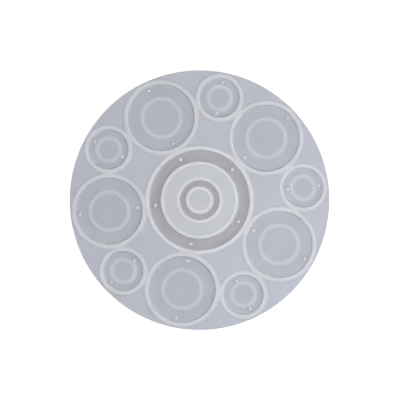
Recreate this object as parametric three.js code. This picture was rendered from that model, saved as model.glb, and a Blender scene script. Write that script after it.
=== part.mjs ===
// Resin casting mould for a round wind chime: one flexible milky silicone disc that lies flat on a
// table, with twelve cavities open at the top. Resin poured into the two middle cavities sets as a
// wide ring and a small hoop, and the ten round cells about them set as drilled discs.
//
// Millimetres, +Z up. The origin is the middle of the underside, and +X points at the first small
// cell. The casting is built up in layers that meet on level planes: the sheet under every cavity,
// the deck that makes the cells shallower than the two middle cavities, the web between the
// cavities, the lips round their mouths, and the beads and string-hole pegs on their floors.

import * as THREE from 'three';

// Levels
const MIDDLE_FLOOR_Z = 2;
const CELL_FLOOR_Z = 3;
const WEB_Z = 7;
const ISLAND_Z = 7.4;
const LIP_Z = 8;

// The disc
const MOULD_RADIUS = 130;
const UNDERSIDE_CHAMFER = 0.5;
const MOULD_SIDES = 120;

// A lip is a low kerb round the mouth of a cavity, eased at the mouth and sloping away from it
const LIP_WIDTH = 3.4;
const LIP_EASING = 0.4;
const LIP_SLOPE = 1.2;

// A bead is the soft ridge on a cell's floor, which presses a ring into the face of the disc
const BEAD_HEIGHT = 0.8;
const BEAD_FOOT = 5.2;
const BEAD_TOP = 2.2;

// A peg keeps a string hole open through the resin
const PEG_RADIUS = 1.35;
const PEG_EASING = 0.3;
const PEG_SIDES = 12;

// Cells repeat five times round the disc, large and small in turn
const FOLDS = 5;
const FOLD_ANGLE = (2 * Math.PI) / FOLDS;
const LARGE_CELL = {
  name: 'large_cell',
  ringRadius: 91.2,
  firstAngle: FOLD_ANGLE / 2,
  radius: 33.6,
  beadRadius: 19.2,
  pegRadius: 29,
  sides: 48,
  beadSides: 36,
};
const SMALL_CELL = {
  name: 'small_cell',
  ringRadius: 104.4,
  firstAngle: 0,
  radius: 20.2,
  beadRadius: 11.5,
  pegRadius: 15.4,
  sides: 36,
  beadSides: 28,
};

// The middle: a wide ring cavity, the island inside it, a narrow hoop cavity and the boss
const RING_CAVITY = { inner: 38.6, outer: 50.4, sides: 80, islandSides: 60 };
const HOOP_CAVITY = { inner: 13.6, outer: 20, sides: 40, bossSides: 32 };
const RING_PEG_RADIUS = 44.6;

const MILKY_SILICONE = new THREE.Color(0.62, 0.64, 0.69);
const SILICONE_ROUGHNESS = 0.5;

function siliconeMaterial() {
  return new THREE.MeshStandardMaterial({
    color: MILKY_SILICONE,
    roughness: SILICONE_ROUGHNESS,
    metalness: 0,
  });
}

function feature(name, geometry, x = 0, z = 0) {
  const mesh = new THREE.Mesh(geometry, siliconeMaterial());
  mesh.name = name;
  mesh.position.set(x, 0, z);
  return mesh;
}

// Turns an outline of [radius, height] points about the vertical axis
function turned(outline, sides) {
  const points = outline.map(([radius, height]) => new THREE.Vector2(radius, height));
  return new THREE.LatheGeometry(points, sides).rotateX(Math.PI / 2);
}

// A disc of square section, such as the boss
function disc(radius, height, sides) {
  return turned(
    [
      [0, 0],
      [radius, 0],
      [radius, height],
      [0, height],
    ],
    sides,
  );
}

// A ring of square section, such as the island
function ring(inner, outer, height, sides) {
  return turned(
    [
      [inner, 0],
      [outer, 0],
      [outer, height],
      [inner, height],
      [inner, 0],
    ],
    sides,
  );
}

// Points round an arc, both ends included, in the direction from one angle to the other
function arcPoints(radius, from, to, steps, middle = new THREE.Vector2()) {
  const points = [];
  for (let i = 0; i <= steps; i += 1) {
    const angle = from + ((to - from) * i) / steps;
    const x = middle.x + radius * Math.cos(angle);
    const y = middle.y + radius * Math.sin(angle);
    points.push(new THREE.Vector2(x, y));
  }
  return points;
}

function baseSheet() {
  const outline = [
    [0, 0],
    [MOULD_RADIUS - UNDERSIDE_CHAMFER, 0],
    [MOULD_RADIUS, UNDERSIDE_CHAMFER],
    [MOULD_RADIUS, MIDDLE_FLOOR_Z],
    [0, MIDDLE_FLOOR_Z],
  ];
  return feature('base_sheet', turned(outline, MOULD_SIDES));
}

function slab(name, outline, lowZ, highZ) {
  const settings = { depth: highZ - lowZ, bevelEnabled: false };
  return feature(name, new THREE.ExtrudeGeometry(outline, settings), 0, lowZ);
}

// The deck lies on the base sheet, round the ring cavity, and its top is the floor of every cell
function cellDeck() {
  const rim = arcPoints(MOULD_RADIUS, 0, 2 * Math.PI, MOULD_SIDES);
  const mouth = arcPoints(RING_CAVITY.outer, 0, 2 * Math.PI, RING_CAVITY.sides);
  const outline = new THREE.Shape(rim.slice(1));
  outline.holes.push(new THREE.Path(mouth.slice(1)));
  return slab('cell_deck', outline, MIDDLE_FLOOR_Z, CELL_FLOOR_Z);
}

// The web fills the level ground between the cavities. One fifth of it runs from the line through
// the middle of one large cell to the line through the next, round the small cell between them.
function webFifth(number) {
  const half = FOLD_ANGLE / 2;
  const large = LARGE_CELL.ringRadius;
  const before = new THREE.Vector2(large * Math.cos(half), -large * Math.sin(half));
  const after = new THREE.Vector2(large * Math.cos(half), large * Math.sin(half));
  const cellSteps = LARGE_CELL.sides / 2;
  const outline = new THREE.Shape([
    ...arcPoints(MOULD_RADIUS, -half, half, MOULD_SIDES / FOLDS),
    ...arcPoints(LARGE_CELL.radius, half, half - Math.PI, cellSteps, after),
    ...arcPoints(RING_CAVITY.outer, half, -half, RING_CAVITY.sides / FOLDS),
    ...arcPoints(LARGE_CELL.radius, Math.PI - half, -half, cellSteps, before),
  ]);
  const small = new THREE.Vector2(SMALL_CELL.ringRadius, 0);
  const mouth = arcPoints(SMALL_CELL.radius, 0, 2 * Math.PI, SMALL_CELL.sides, small);
  outline.holes.push(new THREE.Path(mouth.slice(1)));
  const fifth = slab(`web_fifth_${number}`, outline, CELL_FLOOR_Z, WEB_Z);
  fifth.rotation.z = (number - 1) * FOLD_ANGLE;
  return fifth;
}

// A lip stands on the level surface beside its cavity, and every lip is as high as the next. Its
// side is 1 where it lies round the cavity, and -1 where the cavity lies round it.
function lip(name, mouth, side, footZ, sides) {
  const height = LIP_Z - footZ;
  const outline = [
    [mouth, 0],
    [mouth + side * LIP_WIDTH, 0],
    [mouth + side * (LIP_WIDTH - LIP_SLOPE), height],
    [mouth + side * LIP_EASING, height],
    [mouth, height - LIP_EASING],
    [mouth, 0],
  ];
  if (side < 0) {
    outline.reverse();
  }
  return feature(name, turned(outline, sides), 0, footZ);
}

function bead(name, radius, sides) {
  const footReach = BEAD_FOOT / 2;
  const topReach = BEAD_TOP / 2;
  const outline = [
    [radius - footReach, 0],
    [radius + footReach, 0],
    [radius + topReach, BEAD_HEIGHT],
    [radius - topReach, BEAD_HEIGHT],
    [radius - footReach, 0],
  ];
  return feature(name, turned(outline, sides), 0, CELL_FLOOR_Z);
}

function peg(name, x, floorZ) {
  const height = LIP_Z - floorZ;
  const outline = [
    [0, 0],
    [PEG_RADIUS, 0],
    [PEG_RADIUS, height - PEG_EASING],
    [PEG_RADIUS - PEG_EASING, height],
    [0, height],
  ];
  return feature(name, turned(outline, PEG_SIDES), x, floorZ);
}

// The island and the boss are left standing between the middle cavities, with a lip on each edge
function middleFeatures() {
  const island = RING_CAVITY.inner;
  const { islandSides } = RING_CAVITY;
  const { inner: boss, outer: hoop, bossSides } = HOOP_CAVITY;
  const height = ISLAND_Z - MIDDLE_FLOOR_Z;
  return [
    feature('centre_island', ring(hoop, island, height, islandSides), 0, MIDDLE_FLOOR_Z),
    feature('centre_boss', disc(boss, height, bossSides), 0, MIDDLE_FLOOR_Z),
    lip('ring_lip', RING_CAVITY.outer, 1, WEB_Z, RING_CAVITY.sides),
    lip('island_outer_lip', island, -1, ISLAND_Z, islandSides),
    lip('island_inner_lip', hoop, 1, ISLAND_Z, HOOP_CAVITY.sides),
    lip('boss_lip', boss, -1, ISLAND_Z, bossSides),
  ];
}

// A cell has a lip round its mouth, a bead on its floor and two pegs on the line to the middle
function cellFeatures(cell, number) {
  return [
    lip(`${cell.name}_lip_${number}`, cell.radius, 1, WEB_Z, cell.sides),
    bead(`${cell.name}_bead_${number}`, cell.beadRadius, cell.beadSides),
    peg(`${cell.name}_inner_peg_${number}`, -cell.pegRadius, CELL_FLOOR_Z),
    peg(`${cell.name}_outer_peg_${number}`, cell.pegRadius, CELL_FLOOR_Z),
  ];
}

// A group whose +X points away from the middle of the mould, at one of the five places of a kind
function turnedGroup(angle, radius, features) {
  const group = new THREE.Group();
  group.position.set(radius * Math.cos(angle), radius * Math.sin(angle), 0);
  group.rotation.z = angle;
  group.add(...features);
  return group;
}

const mould = new THREE.Group();
mould.add(baseSheet(), cellDeck(), ...middleFeatures());
for (let number = 1; number <= FOLDS; number += 1) {
  mould.add(webFifth(number));
  const turn = (number - 1) * FOLD_ANGLE;
  const ringPeg = peg(`ring_peg_${number}`, RING_PEG_RADIUS, MIDDLE_FLOOR_Z);
  mould.add(turnedGroup(LARGE_CELL.firstAngle + turn, 0, [ringPeg]));
  for (const cell of [LARGE_CELL, SMALL_CELL]) {
    const angle = cell.firstAngle + turn;
    mould.add(turnedGroup(angle, cell.ringRadius, cellFeatures(cell, number)));
  }
}

export default mould;
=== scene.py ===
"""A round wind-chime casting mould in milky silicone, seen from straight above on a white table.

Metres, +Z up, in the frame's own coordinates. The casting is one continuous skin whose places and
sizes come from the frame: a turned outline for each cell and for the middle, the level web between
their lips, the rolled outer edge and the underside. The string-hole pegs are pieces of their own.
Silicone is darker where it is thin, so every point of a skin also has the thickness there, and
walls and pegs get a painted glow on top.
"""

import math

import bpy
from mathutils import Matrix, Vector, noise
from mathutils.geometry import delaunay_2d_cdt


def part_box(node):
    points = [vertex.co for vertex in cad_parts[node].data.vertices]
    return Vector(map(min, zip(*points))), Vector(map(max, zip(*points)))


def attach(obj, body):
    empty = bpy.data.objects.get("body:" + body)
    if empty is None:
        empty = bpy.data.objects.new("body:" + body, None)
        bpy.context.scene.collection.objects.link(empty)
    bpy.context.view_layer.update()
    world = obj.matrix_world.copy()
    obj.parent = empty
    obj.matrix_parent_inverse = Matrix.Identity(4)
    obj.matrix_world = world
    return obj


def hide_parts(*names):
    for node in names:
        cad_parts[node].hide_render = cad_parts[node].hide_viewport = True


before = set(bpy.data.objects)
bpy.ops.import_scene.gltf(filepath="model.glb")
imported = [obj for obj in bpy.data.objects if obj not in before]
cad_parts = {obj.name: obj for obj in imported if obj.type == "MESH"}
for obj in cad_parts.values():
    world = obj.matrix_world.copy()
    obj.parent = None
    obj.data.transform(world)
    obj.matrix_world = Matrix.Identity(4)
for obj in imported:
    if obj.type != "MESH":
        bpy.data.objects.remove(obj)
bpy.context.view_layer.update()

MM = 0.001
CELL_KINDS = ("large", "small")
FOLDS = range(1, 6)

# The frame's lips and beads, whose nodes give only their outer radius
LIP_WIDTH = 3.4 * MM
FRAME_BEAD_REACH = 2.6 * MM

# The silicone's rounded shapes, which the frame leaves square
SHOULDER = 0.6 * MM
FLOOR_FILLET = 1.3 * MM
BEAD_REACH = 3.9 * MM
DISC_STEP = 0.12 * MM
RIM_ROLL = 0.4 * MM
UNDERSIDE_ROLL = 0.5 * MM

# How far the foot of a cavity's wall stands in from its lip
CELL_DRAFT = 0.7 * MM
MIDDLE_DRAFT = 0.3 * MM

# How far from its cavity's wall a lip starts to fall, and how far off it has run out
WEB_LIP_FALL = (2.6 * MM, 5.2 * MM)
ISLAND_LIP_FALL = (1.9 * MM, 4.4 * MM)

# How far the cast surface strays from level, and over what distance
WAVE_HEIGHT = 0.05 * MM
WAVES_PER_METRE = 28

# How finely the skin is divided, along its outlines and round them
ARC_STEPS = 6
BEAD_STEP = 1 / 8
SLOPE_STEP = 0.35 * MM
FLAT_STEP = 3.0 * MM
MIDDLE_SIDES = 224
CELL_SIDES = {"large": 144, "small": 96}
RIM_SIDES = 256
PEG_SIDES = 24

# How much brighter the paper and the studio look than the light they give
SEEN_WHITE = 0.8


def middle_and_reach(node):
    """The middle of a round node in plan, and its radius."""
    low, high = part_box(node)
    middle = (low + high).xy / 2
    reach = max((vertex.co.xy - middle).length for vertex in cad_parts[node].data.vertices)
    return middle, reach


MIDDLE_FLOOR_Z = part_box("base_sheet")[1].z
CELL_FLOOR_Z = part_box("cell_deck")[1].z
BEAD_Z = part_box("large_cell_bead_1")[1].z
WEB_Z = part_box("web_fifth_1")[1].z
ISLAND_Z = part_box("centre_island")[1].z
LIP_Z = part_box("ring_lip")[1].z
CENTRE, MOULD_RADIUS = middle_and_reach("base_sheet")
BOSS_RADIUS = middle_and_reach("centre_boss")[1]
HOOP_RADIUS = middle_and_reach("island_inner_lip")[1] - LIP_WIDTH
ISLAND_RADIUS = middle_and_reach("centre_island")[1]
RING_RADIUS = middle_and_reach("ring_lip")[1] - LIP_WIDTH

# How thick the silicone counts as where its height isn't all there is to it. Pins and walls get
# the
# brightest tone, a painted glow: it stands for the light a pin takes in all round and for light
# coming through a lip from behind, and on the walls it lightens their shade. The floor beside a
# wall gets this share of the way to that painted glow. A cell's lip lets a little more light
# through than the lips of the middle.
PAINTED_GLOW_THICKNESS = LIP_Z + 0.5 * MM
FOOT_PAINTED_GLOW_SHARE = 0.01
CELL_LIP_THICKNESS = LIP_Z - 0.3 * MM


def arc(radius, height, bend, start, end):
    """Points round a quarter turn of the outline, about (radius, height)."""
    points = []
    for step in range(ARC_STEPS + 1):
        angle = math.radians(start + (end - start) * step / ARC_STEPS)
        points.append((radius + bend * math.cos(angle), height + bend * math.sin(angle)))
    return points


def spaced(start, end, step):
    """Evenly spaced values from start to end, both included."""
    steps = max(1, round(abs(end - start) / step))
    return [start + (end - start) * i / steps for i in range(steps + 1)]


def lip_share(away, fall):
    """How much of its height a lip has at a distance from its cavity's wall."""
    start, end = fall
    share = min(1.0, max(0.0, (end - away) / (end - start)))
    return share * share * (3 - 2 * share)


def wall(radius, foot, side, draft, lip_thickness=LIP_Z):
    """Up a wall from its fillet to the lip's shoulder. The cavity is inside it if side is 1.

    Each point has a thickness too, which grows from the floor's to the wall's round the fillet.
    The wall's tone is a painted glow that lightens the shade on the wall and on the floor beside
    it.
    """
    points = []
    middle = -draft - FLOOR_FILLET
    for across, height in arc(middle, foot + FLOOR_FILLET, FLOOR_FILLET, -90, 0):
        # Painted glow: the fillet's tone rises from the floor's to the wall's, lightening the
        # shade at the wall's foot.
        share = max(FOOT_PAINTED_GLOW_SHARE, math.sqrt(max(0.0, height - foot) / FLOOR_FILLET))
        points.append((radius + side * across, height, foot + (PAINTED_GLOW_THICKNESS - foot) * share))
    for across, height in arc(SHOULDER, LIP_Z - SHOULDER, SHOULDER, 180, 90):
        # Painted glow: the shoulder's tone rises from the lip's to the wall's.
        share = (LIP_Z - height) / SHOULDER
        thickness = lip_thickness + (PAINTED_GLOW_THICKNESS - lip_thickness) * share
        points.append((radius + side * across, height, thickness))
    return points


def bead(radius):
    """Over the soft ridge on a cell's floor."""
    points = []
    for across in spaced(-1.0, 1.0, BEAD_STEP):
        foot = CELL_FLOOR_Z if across > 0 else CELL_FLOOR_Z + DISC_STEP
        rise = (BEAD_Z - foot) * math.cos(across * math.pi / 2) ** 2
        points.append((radius + across * BEAD_REACH, foot + rise))
    return points


def web_lip(radius):
    """Over a lip from its shoulder to where the web begins."""
    points = []
    for away in spaced(SHOULDER, LIP_WIDTH, SLOPE_STEP)[1:]:
        share = lip_share(away, WEB_LIP_FALL)
        points.append((radius + away, WEB_Z + (LIP_Z - WEB_Z) * share))
    return points


def island_height(away):
    """The island's or the boss's height, lip included, at a distance from the wall."""
    share = lip_share(away, ISLAND_LIP_FALL)
    return ISLAND_Z + (LIP_Z - ISLAND_Z) * share


def cell_outline(radius, bead_radius):
    """From the middle of a cell's floor over its bead, up its wall and over its lip to the web."""
    foot = radius - CELL_DRAFT - FLOOR_FILLET
    disc = CELL_FLOOR_Z + DISC_STEP
    points = [(x, disc) for x in spaced(0.0, bead_radius - BEAD_REACH, FLAT_STEP)[1:-1]]
    points += bead(bead_radius)
    points += [(x, CELL_FLOOR_Z) for x in spaced(bead_radius + BEAD_REACH, foot, FLAT_STEP)[1:-1]]
    points += wall(radius, CELL_FLOOR_Z, 1, CELL_DRAFT, CELL_LIP_THICKNESS)
    for x, height in web_lip(radius):
        points.append((x, height, min(height, CELL_LIP_THICKNESS)))
    return points


def middle_outline():
    """From the boss's middle, over the hoop cavity, the island and the ring cavity, to the web."""
    end = ISLAND_LIP_FALL[1]
    slope = spaced(end, SHOULDER, SLOPE_STEP)
    foot = MIDDLE_DRAFT + FLOOR_FILLET
    points = [(x, ISLAND_Z) for x in spaced(0.0, BOSS_RADIUS - end, FLAT_STEP)[1:-1]]
    points += [(BOSS_RADIUS - away, island_height(away)) for away in slope[:-1]]
    points += reversed(wall(BOSS_RADIUS, MIDDLE_FLOOR_Z, -1, MIDDLE_DRAFT))
    points += wall(HOOP_RADIUS, MIDDLE_FLOOR_Z, 1, MIDDLE_DRAFT)
    points += [(HOOP_RADIUS + away, island_height(away)) for away in slope[-2::-1]]
    level = spaced(HOOP_RADIUS + end, ISLAND_RADIUS - end, FLAT_STEP)
    points += [(x, ISLAND_Z) for x in level[1:-1]]
    points += [(ISLAND_RADIUS - away, island_height(away)) for away in slope[:-1]]
    points += reversed(wall(ISLAND_RADIUS, MIDDLE_FLOOR_Z, -1, MIDDLE_DRAFT))
    floor = spaced(ISLAND_RADIUS + foot, RING_RADIUS - foot, FLAT_STEP)
    points += [(x, MIDDLE_FLOOR_Z) for x in floor[1:-1]]
    points += wall(RING_RADIUS, MIDDLE_FLOOR_Z, 1, MIDDLE_DRAFT)
    points += web_lip(RING_RADIUS)
    return points


def rim_outline():
    """Round the mould's outer edge, from the web down its side to the underside."""
    points = arc(MOULD_RADIUS - RIM_ROLL, WEB_Z - RIM_ROLL, RIM_ROLL, 90, 0)
    points += [(MOULD_RADIUS, WEB_Z * share) for share in (0.65, 0.45, 0.25)]
    points += arc(MOULD_RADIUS - UNDERSIDE_ROLL, UNDERSIDE_ROLL, UNDERSIDE_ROLL, 0, -90)
    return [(radius, height, WEB_Z) for radius, height in points]


class Skin:
    """Points and faces of one continuous surface, and how thick the silicone is at each point,
    with the painted glow of walls and pins.
    """

    def __init__(self):
        self.points = []
        self.faces = []
        self.thickness = []

    def point(self, x, y, z, thickness=None):
        self.points.append((x, y, z))
        self.thickness.append(z if thickness is None else thickness)
        return len(self.points) - 1

    def loop(self, middle, radius, height, sides, thickness=None):
        indices = []
        for i in range(sides):
            angle = math.tau * i / sides
            x = middle.x + radius * math.cos(angle)
            y = middle.y + radius * math.sin(angle)
            indices.append(self.point(x, y, height, thickness))
        return indices

    def bridge(self, inner, outer):
        for i, here in enumerate(inner):
            after = (i + 1) % len(inner)
            self.faces.append((here, outer[i], outer[after], inner[after]))

    def run(self, middle, outline, sides):
        """Loops along an outline, bridged. Returns the first and the last."""
        first = last = None
        for radius, height, *thickness in outline:
            loop = self.loop(middle, radius, height, sides, *thickness)
            if last is None:
                first = loop
            else:
                self.bridge(last, loop)
            last = loop
        return first, last

    def turned(self, middle, outline, sides):
        """A surface turned about the middle, which its outline starts beside. Returns its edge."""
        first, last = self.run(middle, outline, sides)
        hub = self.point(middle.x, middle.y, outline[0][1])
        for i, here in enumerate(first):
            self.faces.append((hub, here, first[(i + 1) % sides]))
        return last

    def fill(self, loops, extra, keep, up=True):
        """Triangles between closed loops and through the extra points, where keep says."""
        indices = [i for loop in loops for i in loop] + extra
        flat_points = [Vector(self.points[i][:2]) / MM for i in indices]
        place = {index: i for i, index in enumerate(indices)}
        edges = []
        for loop in loops:
            for i, here in enumerate(loop):
                edges.append((place[here], place[loop[(i + 1) % len(loop)]]))
        all_triangles = 0
        tolerance = 1e-6
        made = delaunay_2d_cdt(flat_points, edges, [], all_triangles, tolerance, True)
        corners, triangles, sources = made[0], made[2], made[3]
        for triangle in triangles:
            a, b, c = (corners[i] for i in triangle)
            if not keep((a + b + c) / 3 * MM):
                continue
            face = [indices[sources[i][0]] for i in triangle]
            turns_left = (b - a).cross(c - a) > 0
            self.faces.append(tuple(face if turns_left == up else reversed(face)))


def hollows():
    """Each cell and the middle: its middle point, the radius of its outer wall, and its sides."""
    found = [(CENTRE, RING_RADIUS, MIDDLE_SIDES)]
    for kind in CELL_KINDS:
        for number in FOLDS:
            middle, reach = middle_and_reach(f"{kind}_cell_lip_{number}")
            found.append((middle, reach - LIP_WIDTH, CELL_SIDES[kind]))
    return found


HOLLOWS = hollows()


def distances(point):
    """How far a point lies from the wall of each hollow, outwards."""
    return [(point - middle).length - radius for middle, radius, _ in HOLLOWS]


def round_points(middle, radius, sides):
    points = []
    for i in range(sides):
        angle = math.tau * i / sides
        points.append(middle + radius * Vector((math.cos(angle), math.sin(angle))))
    return points


def grid_points(spacing):
    """Points of a triangular grid over the mould."""
    points = []
    rows = math.ceil(MOULD_RADIUS / (spacing * math.sin(math.pi / 3)))
    columns = math.ceil(MOULD_RADIUS / spacing)
    for row in range(-rows, rows + 1):
        y = row * spacing * math.sin(math.pi / 3)
        for column in range(-columns, columns + 1):
            points.append(Vector(((column + 0.5 * (row % 2)) * spacing, y)))
    return points


def web_height(point):
    """The web's height at a point, lips included. Lips that nearly touch run into one another."""
    share = sum(lip_share(away, WEB_LIP_FALL) for away in distances(point))
    return WEB_Z + (LIP_Z - WEB_Z) * min(1.0, share)


def add_web(skin, feet, rim):
    """The web from the lips to the rolled rim: rows of points beside each lip, then a grid."""
    row = 0.7 * MM
    rows = 3
    spacing = 2.2 * MM
    slack = 0.1 * MM
    inside = MOULD_RADIUS - RIM_ROLL - row
    places = []
    for middle, radius, sides in HOLLOWS:
        for step in range(1, rows + 1):
            reach = radius + LIP_WIDTH + step * row
            for place in round_points(middle, reach, sides):
                nearest, next_nearest = sorted(distances(place))[:2]
                in_own_half = abs(nearest - (reach - radius)) < slack
                if in_own_half and next_nearest > nearest + row / 2:
                    places.append(place)
    clear = LIP_WIDTH + (rows + 1) * row
    places += [place for place in grid_points(spacing) if min(distances(place)) > clear]
    extra = []
    for place in places:
        if place.length < inside:
            height = web_height(place)
            thickness = min(height, CELL_LIP_THICKNESS)
            extra.append(skin.point(place.x, place.y, height, thickness))

    def keep(point):
        for middle, radius, sides in HOLLOWS:
            if (point - middle).length < (radius + LIP_WIDTH) * math.cos(math.pi / sides):
                return False
        return True

    skin.fill([rim, *feet], extra, keep)


def thickness_over(point):
    """How thick the silicone is over a point of the underside."""
    from_ring, *from_cells = distances(point)
    if min(from_cells) < 0:
        return CELL_FLOOR_Z
    away = (point - CENTRE).length
    in_hoop_cavity = BOSS_RADIUS < away < HOOP_RADIUS
    in_ring_cavity = ISLAND_RADIUS < away < RING_RADIUS
    if in_hoop_cavity or in_ring_cavity:
        return MIDDLE_FLOOR_Z
    return ISLAND_Z if from_ring < 0 else web_height(point)


def add_underside(skin, edge):
    """The flat underside, with points where the silicone over it changes thickness."""
    step = 0.4 * MM
    spacing = 5 * MM
    sides = 96
    walls = [(CENTRE, radius) for radius in (BOSS_RADIUS, HOOP_RADIUS, ISLAND_RADIUS)]
    walls += [(middle, radius) for middle, radius, _ in HOLLOWS]
    places = grid_points(spacing)
    for middle, radius in walls:
        for away in (-step, step, LIP_WIDTH):
            places += round_points(middle, radius + away, sides)
    inside = MOULD_RADIUS - UNDERSIDE_ROLL - step
    extra = []
    for place in places:
        if place.length < inside:
            extra.append(skin.point(place.x, place.y, 0.0, thickness_over(place)))
    skin.fill([edge], extra, lambda point: True, up=False)


def lift_bridges(skin):
    """Lifts the outer slopes of lips that nearly touch, as web_height does beyond them."""
    for index, (x, y, z) in enumerate(skin.points):
        if z < WEB_Z:
            continue
        place = Vector((x, y))
        away = distances(place)
        if min(away) > SHOULDER and sorted(away)[1] < WEB_LIP_FALL[1]:
            skin.points[index] = (x, y, web_height(place))
            skin.thickness[index] = min(web_height(place), CELL_LIP_THICKNESS)


def let_it_wave(skin):
    """Lowers the upper surfaces a little, here and there: cast silicone is never quite level."""
    for index, (x, y, z) in enumerate(skin.points):
        if z <= MIDDLE_FLOOR_Z / 2:
            continue
        place = Vector((x, y, 0.0)) * WAVES_PER_METRE
        drop = WAVE_HEIGHT * (0.5 + 0.5 * noise.noise(place)) * z / LIP_Z
        skin.points[index] = (x, y, z - drop)


def mesh_piece(name, skin):
    mesh = bpy.data.meshes.new(name)
    mesh.from_pydata(skin.points, [], skin.faces)
    mesh.validate()
    thickness = mesh.attributes.new("thickness", "FLOAT", "POINT")
    thickness.data.foreach_set("value", [value / PAINTED_GLOW_THICKNESS for value in skin.thickness])
    mesh.shade_smooth()
    piece = bpy.data.objects.new(name, mesh)
    bpy.context.scene.collection.objects.link(piece)
    return piece


def make_body():
    """The whole casting apart from its pegs."""
    skin = Skin()
    feet = [skin.turned(CENTRE, middle_outline(), MIDDLE_SIDES)]
    for kind in CELL_KINDS:
        bead_radius = middle_and_reach(f"{kind}_cell_bead_1")[1] - FRAME_BEAD_REACH
        for number in FOLDS:
            middle, reach = middle_and_reach(f"{kind}_cell_lip_{number}")
            outline = cell_outline(reach - LIP_WIDTH, bead_radius)
            feet.append(skin.turned(middle, outline, CELL_SIDES[kind]))
    rim, edge = skin.run(CENTRE, rim_outline(), RIM_SIDES)
    add_web(skin, feet, rim)
    add_underside(skin, edge)
    lift_bridges(skin)
    let_it_wave(skin)
    body = mesh_piece("silicone_casting", skin)
    weighted = body.modifiers.new("flats stay flat", "WEIGHTED_NORMAL")
    weighted.keep_sharp = False
    return body


def make_peg(node):
    """A slightly tapered pin with a domed top and a flared foot, rooted in the floor."""
    low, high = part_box(node)
    middle, radius = middle_and_reach(node)
    taper = 0.05 * MM
    flare = 0.35 * MM
    dome = 0.2 * MM
    root = low.z - 0.5 * MM
    root_radius = radius * 0.6
    flat = radius - taper - dome
    outline = [(root_radius, root), (radius + flare, root)]
    outline += arc(radius + flare, low.z + flare, flare, 270, 180)
    outline += arc(flat, high.z - dome, dome, 0, 90)
    outline += [(flat / 2, high.z)]
    outline.reverse()
    skin = Skin()
    last = skin.turned(middle, outline, PEG_SIDES)
    skin.faces.append(tuple(reversed(last)))
    # Painted glow: the whole pin gets the brightest tone, for the light it takes in all round.
    skin.thickness = [PAINTED_GLOW_THICKNESS] * len(skin.points)
    return mesh_piece(node.replace("peg", "pin"), skin)


def new_material(name):
    """A material with nodes, its tree and its Principled shader."""
    material = bpy.data.materials.new(name)
    material.use_nodes = True
    tree = material.node_tree
    return material, tree, tree.nodes["Principled BSDF"]


def add_node(tree, kind, **settings):
    """A shader node with its named inputs or properties set."""
    made = tree.nodes.new(kind)
    for key, value in settings.items():
        if key in made.inputs:
            made.inputs[key].default_value = value
        else:
            setattr(made, key, value)
    return made


def milky_silicone(name, scatter, gloss):
    """Translucent silicone: whiter where it is thick, with a painted glow on walls and pins and a
    painted highlight on the beads, faintly clouded, with a fine satin grain.
    """
    material, tree, shader = new_material(name)
    link = tree.links.new
    place = add_node(tree, "ShaderNodeTexCoord").outputs["Object"]

    depth_and_glow = add_node(tree, "ShaderNodeAttribute", attribute_name="thickness").outputs["Fac"]
    tint = add_node(tree, "ShaderNodeValToRGB")
    tints = {
        MIDDLE_FLOOR_Z: (0.530, 0.525, 0.553),
        CELL_FLOOR_Z: (0.597, 0.611, 0.680),
        # The bead's tone is lighter than the web's, though it is thinner: partly its own thickness
        # over the floor, partly a painted highlight for the light the round ridge catches from
        # both sides.
        BEAD_Z: (0.722, 0.744, 0.803),
        WEB_Z: (0.659, 0.672, 0.754),
        ISLAND_Z: (0.720, 0.733, 0.781),
        LIP_Z: (0.838, 0.845, 0.900),
        # The brightest tone, the painted glow of walls and pins.
        PAINTED_GLOW_THICKNESS: (0.965, 0.975, 1.0),
    }
    stops = tint.color_ramp.elements
    for ramp_key in list(tints)[1:-1]:
        stops.new(ramp_key / PAINTED_GLOW_THICKNESS)
    for stop, (ramp_key, tint_here) in zip(stops, tints.items()):
        stop.position = ramp_key / PAINTED_GLOW_THICKNESS
        stop.color = (*tint_here, 1)
    link(depth_and_glow, tint.inputs["Fac"])

    cloud = add_node(tree, "ShaderNodeTexNoise", Scale=38.0, Detail=4.0, Roughness=0.55)
    link(place, cloud.inputs["Vector"])
    clouded = add_node(tree, "ShaderNodeMapRange")
    clouded.inputs["From Min"].default_value = 0.3
    clouded.inputs["From Max"].default_value = 0.7
    clouded.inputs["To Min"].default_value = 0.965
    clouded.inputs["To Max"].default_value = 1.03
    link(cloud.outputs["Fac"], clouded.inputs["Value"])
    colour = add_node(tree, "ShaderNodeVectorMath", operation="SCALE")
    link(tint.outputs["Color"], colour.inputs[0])
    link(clouded.outputs["Result"], colour.inputs["Scale"])
    link(colour.outputs["Vector"], shader.inputs["Base Color"])

    grain = add_node(tree, "ShaderNodeTexNoise", Scale=2600.0, Detail=2.0, Roughness=0.6)
    swell = add_node(tree, "ShaderNodeTexNoise", Scale=90.0, Detail=2.0, Roughness=0.5)
    link(place, grain.inputs["Vector"])
    link(place, swell.inputs["Vector"])
    fine = add_node(tree, "ShaderNodeBump", Strength=0.25, Distance=0.02 * MM)
    soft = add_node(tree, "ShaderNodeBump", Strength=0.35, Distance=0.3 * MM)
    link(grain.outputs["Fac"], fine.inputs["Height"])
    link(swell.outputs["Fac"], soft.inputs["Height"])
    link(fine.outputs["Normal"], soft.inputs["Normal"])
    link(soft.outputs["Normal"], shader.inputs["Normal"])

    satin = add_node(tree, "ShaderNodeMapRange")
    satin.inputs["To Min"].default_value = gloss[0]
    satin.inputs["To Max"].default_value = gloss[1]
    link(cloud.outputs["Fac"], satin.inputs["Value"])
    link(satin.outputs["Result"], shader.inputs["Roughness"])

    shader.inputs["Subsurface Weight"].default_value = 1.0
    shader.inputs["Subsurface Radius"].default_value = (1.0, 1.0, 1.1)
    shader.inputs["Subsurface Scale"].default_value = scatter
    shader.inputs["IOR"].default_value = 1.41
    return material


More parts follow.
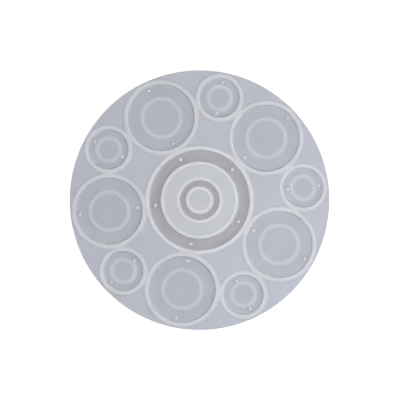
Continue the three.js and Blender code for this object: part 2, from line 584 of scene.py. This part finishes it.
def seen_glow(tree, strength, base=0.0):
    """A strength of light, which is higher where it is seen directly.

    It keeps the paper and the studio white, without lighting the thin floors from below.
    """
    glow = add_node(tree, "ShaderNodeMath", operation="MULTIPLY_ADD")
    tree.links.new(add_node(tree, "ShaderNodeLightPath").outputs["Is Camera Ray"], glow.inputs[0])
    glow.inputs[1].default_value = strength
    glow.inputs[2].default_value = base
    return glow.outputs["Value"]


def table_top():
    """The white paper that the mould lies on."""
    material, tree, shader = new_material("white_paper")
    fibre = add_node(tree, "ShaderNodeTexNoise", Scale=700.0, Detail=3.0)
    bump = add_node(tree, "ShaderNodeBump", Strength=0.1, Distance=0.05 * MM)
    tree.links.new(fibre.outputs["Fac"], bump.inputs["Height"])
    tree.links.new(bump.outputs["Normal"], shader.inputs["Normal"])
    shader.inputs["Base Color"].default_value = (0.92, 0.92, 0.92, 1)
    shader.inputs["Roughness"].default_value = 0.9
    shader.inputs["Emission Color"].default_value = (1, 1, 1, 1)
    tree.links.new(seen_glow(tree, SEEN_WHITE), shader.inputs["Emission Strength"])
    return material


def make_floor():
    reach = 6.0
    cells = 24
    gap = 0.05 * MM
    points = []
    faces = []
    for row in range(cells + 1):
        for column in range(cells + 1):
            x = reach * (2 * column / cells - 1)
            y = reach * (2 * row / cells - 1)
            points.append((x, y, -gap))
    for row in range(cells):
        for column in range(cells):
            corner = row * (cells + 1) + column
            above = corner + cells + 1
            faces.append((corner, corner + 1, above + 1, above))
    mesh = bpy.data.meshes.new("paper_floor")
    mesh.from_pydata(points, [], faces)
    mesh.materials.append(table_top())
    floor = bpy.data.objects.new("paper_floor", mesh)
    bpy.context.scene.collection.objects.link(floor)


def aim(piece, place, target):
    piece.location = place
    piece.rotation_euler = (Vector(target) - Vector(place)).to_track_quat("-Z", "Y").to_euler()


def softbox(name, azimuth, elevation, distance, size, power):
    light = bpy.data.lights.new(name, "AREA")
    light.shape = "RECTANGLE"
    light.size = size
    light.size_y = size
    light.energy = power
    box = bpy.data.objects.new(name, light)
    around = math.radians(azimuth)
    up = math.radians(elevation)
    level = distance * math.cos(up)
    place = (level * math.cos(around), level * math.sin(around), distance * math.sin(up))
    aim(box, place, (0, 0, 0))
    box.visible_camera = False
    bpy.context.scene.collection.objects.link(box)


def light_it():
    softbox("right_softbox", azimuth=336, elevation=68, distance=0.55, size=0.7, power=1.94)
    softbox("left_softbox", azimuth=150, elevation=55, distance=2.2, size=2.2, power=7.1)
    softbox("top_softbox", azimuth=0, elevation=90, distance=2.6, size=1.6, power=4.6)
    world = bpy.data.worlds.new("studio")
    world.use_nodes = True
    sky = world.node_tree.nodes["Background"]
    sky.inputs["Color"].default_value = (1.0, 1.0, 1.0, 1)
    strength = seen_glow(world.node_tree, SEEN_WHITE, base=0.23)
    world.node_tree.links.new(strength, sky.inputs["Strength"])
    bpy.context.scene.world = world
    bpy.context.scene.view_settings.view_transform = "Standard"


def make_camera():
    """Straight above, far enough off that the walls hardly show, turned as the mould lies."""
    view_width = 0.3997
    distance = 1.8
    turn = math.radians(-6.9)
    camera_data = bpy.data.cameras.new("camera")
    camera_data.sensor_width = 36.0
    camera_data.lens = camera_data.sensor_width * distance / view_width
    camera_data.clip_end = 50.0
    camera = bpy.data.objects.new("camera", camera_data)
    camera.location = (0.44 * MM, 0.06 * MM, distance + LIP_Z)
    camera.rotation_euler = (0.0, 0.0, turn)
    bpy.context.scene.collection.objects.link(camera)
    bpy.context.scene.camera = camera


silicone = milky_silicone("milky_silicone", scatter=2.5 * MM, gloss=(0.36, 0.52))
pin_silicone = milky_silicone("pin_silicone", scatter=0.1 * MM, gloss=(0.18, 0.28))
pegs = sorted(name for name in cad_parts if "_peg_" in name)
for name in pegs:
    pin = make_peg(name)
    pin.data.materials.append(pin_silicone)
    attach(pin, "root")
    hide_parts(name)

casting = make_body()
casting.data.materials.append(silicone)
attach(casting, "root")
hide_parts(*(name for name in sorted(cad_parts) if name not in pegs))

make_floor()
light_it()
make_camera()
